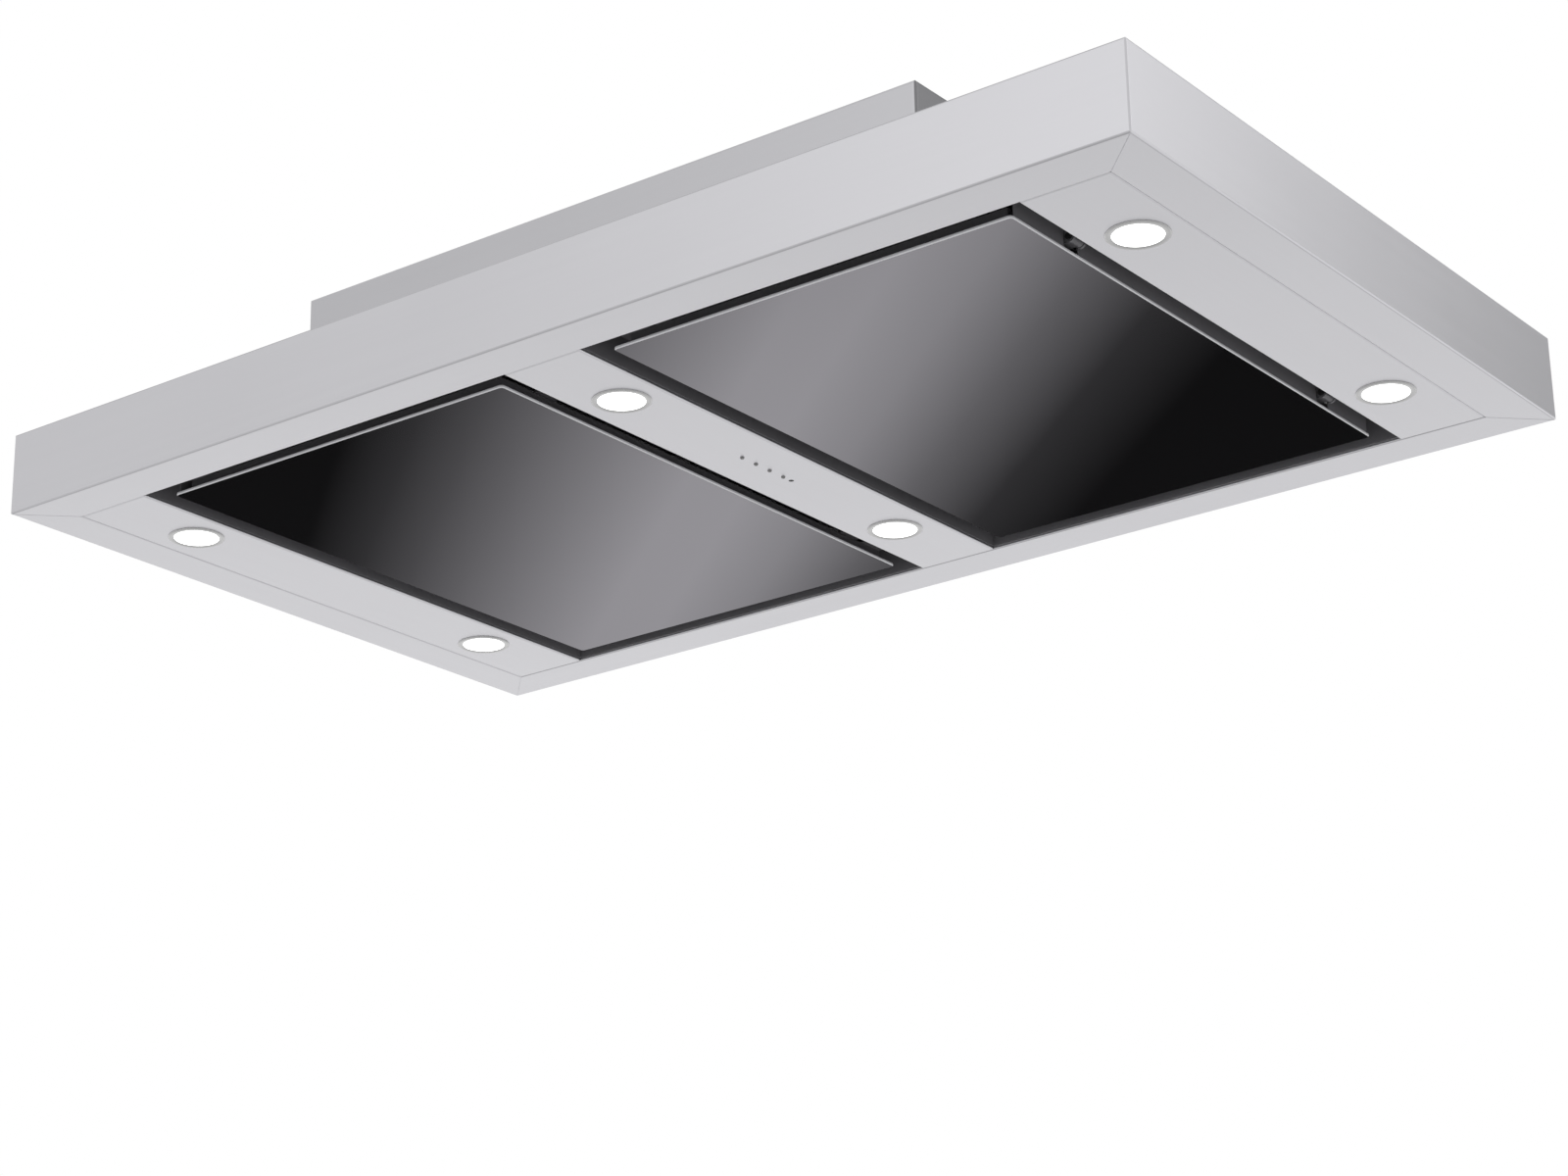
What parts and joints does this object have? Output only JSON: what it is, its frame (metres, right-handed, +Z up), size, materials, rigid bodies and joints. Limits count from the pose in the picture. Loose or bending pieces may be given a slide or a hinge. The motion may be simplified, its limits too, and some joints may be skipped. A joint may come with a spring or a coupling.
{
  "type": "ceiling range hood",
  "caption": "Flush ceiling range hood that draws air in round two black glass panels, with lamps, push buttons, filters and a round duct collar on a raised plinth.",
  "frame": {"origin": "centre of the four ceiling bolts, on the face that meets the ceiling", "axes": "+X along the hood's long side, +Y across it, +Z up into the ceiling along the duct"},
  "size_m": [1.2, 0.7, 0.2376],
  "materials": {
    "stainless": "finely brushed stainless sheet",
    "black_enamel": "satin black powder coat",
    "black_glass": "toughened glass, black on its back",
    "zinc_steel": "zinc-plated sheet steel",
    "bright_steel": "bright turned steel",
    "nickel": "nickel-plated magnet",
    "aluminium": "plain mill aluminium",
    "black_plastic": "fine moulded texture",
    "button_grey": "dark grey, smooth",
    "dark_window": "polished dark filter plastic",
    "lamp_lens": "opal diffuser",
    "white_board": "white, smooth",
    "green_board": "circuit board lacquer",
    "white_sheath": "white cable sheath",
    "black_rubber": "black rubber"
  },
  "bodies": {
    "hood": {"casing": "stainless", "roof_panel": "zinc_steel", "plinth": "stainless", "left_strip": "stainless", "centre_strip": "stainless", "right_strip": "stainless", "left_inlet_tray": "black_enamel", "right_inlet_tray": "black_enamel", "left_hinge_brackets": "black_enamel", "right_hinge_brackets": "black_enamel", "left_hinge_pins": "bright_steel", "right_hinge_pins": "bright_steel", "left_catch_housings": "black_plastic", "right_catch_housings": "black_plastic", "left_catch_magnets": "nickel", "right_catch_magnets": "nickel", "left_filter_frame": "aluminium", "right_filter_frame": "aluminium", "left_filter_pad": "aluminium", "right_filter_pad": "aluminium", "lamp_rings": "stainless", "lamp_lenses": "lamp_lens", "lamp_boards": "white_board", "lamp_heat_sinks": "aluminium", "lamp_clips": "zinc_steel", "receiver_window": "dark_window", "push_switches": "black_plastic", "control_board": "green_board", "control_housing": "black_plastic", "driver_case": "zinc_steel", "driver_lid": "zinc_steel", "power_case": "zinc_steel", "power_lid": "zinc_steel", "terminal_box": "black_plastic", "terminal_lid": "black_plastic", "terminal_block": "white_board", "cable_grommet": "black_rubber", "mounting_rails": "zinc_steel", "outlet_collar": "zinc_steel", "damper_pin": "bright_steel", "roof_screws": "zinc_steel", "plinth_screws": "zinc_steel", "tray_screws": "black_enamel", "collar_screws": "zinc_steel", "lamp_cable": "white_sheath", "supply_cable": "white_sheath", "control_cable": "white_sheath", "mains_cable": "black_rubber"},
    "left_panel": {"left_glass": "black_glass", "left_glass_carrier": "black_enamel"},
    "right_panel": {"right_glass": "black_glass", "right_glass_carrier": "black_enamel"},
    "left_latch": {"left_filter_latch": "bright_steel"},
    "right_latch": {"right_filter_latch": "bright_steel"},
    "left_flap": {"left_damper_flap": "aluminium"},
    "right_flap": {"right_damper_flap": "aluminium"},
    "push_1": {"button_1": "button_grey"},
    "push_2": {"button_2": "button_grey"},
    "push_3": {"button_3": "button_grey"},
    "push_4": {"button_4": "button_grey"}
  },
  "joints": [
    {"name": "left_panel_hinge", "type": "hinge", "parent": "hood", "child": "left_panel", "pos_m": [-0.457, 0, -0.165], "axis": [0, 1, 0], "range_deg": [0, 90]},
    {"name": "right_panel_hinge", "type": "hinge", "parent": "hood", "child": "right_panel", "pos_m": [0.457, 0, -0.165], "axis": [0, -1, 0], "range_deg": [0, 90]},
    {"name": "left_latch_slide", "type": "slide", "parent": "hood", "child": "left_latch", "axis": [-1, 0, 0], "range_m": [0, 0.007], "stiffness_N_per_m": 300, "springref_m": -0.003},
    {"name": "right_latch_slide", "type": "slide", "parent": "hood", "child": "right_latch", "axis": [1, 0, 0], "range_m": [0, 0.007], "stiffness_N_per_m": 300, "springref_m": -0.003},
    {"name": "push_1_travel", "type": "slide", "parent": "hood", "child": "push_1", "axis": [0, 0, 1], "range_m": [0, 0.001], "stiffness_N_per_m": 400, "springref_m": -0.0005},
    {"name": "push_2_travel", "type": "slide", "parent": "hood", "child": "push_2", "axis": [0, 0, 1], "range_m": [0, 0.001], "stiffness_N_per_m": 400, "springref_m": -0.0005},
    {"name": "push_3_travel", "type": "slide", "parent": "hood", "child": "push_3", "axis": [0, 0, 1], "range_m": [0, 0.001], "stiffness_N_per_m": 400, "springref_m": -0.0005},
    {"name": "push_4_travel", "type": "slide", "parent": "hood", "child": "push_4", "axis": [0, 0, 1], "range_m": [0, 0.001], "stiffness_N_per_m": 400, "springref_m": -0.0005},
    {"name": "left_flap_hinge", "type": "hinge", "parent": "hood", "child": "left_flap", "pos_m": [0, 0, -0.022], "axis": [0, 1, 0], "range_deg": [0, 75]},
    {"name": "right_flap_hinge", "type": "hinge", "parent": "hood", "child": "right_flap", "pos_m": [0, 0, -0.022], "axis": [0, -1, 0], "range_deg": [0, 75]}
  ]
}
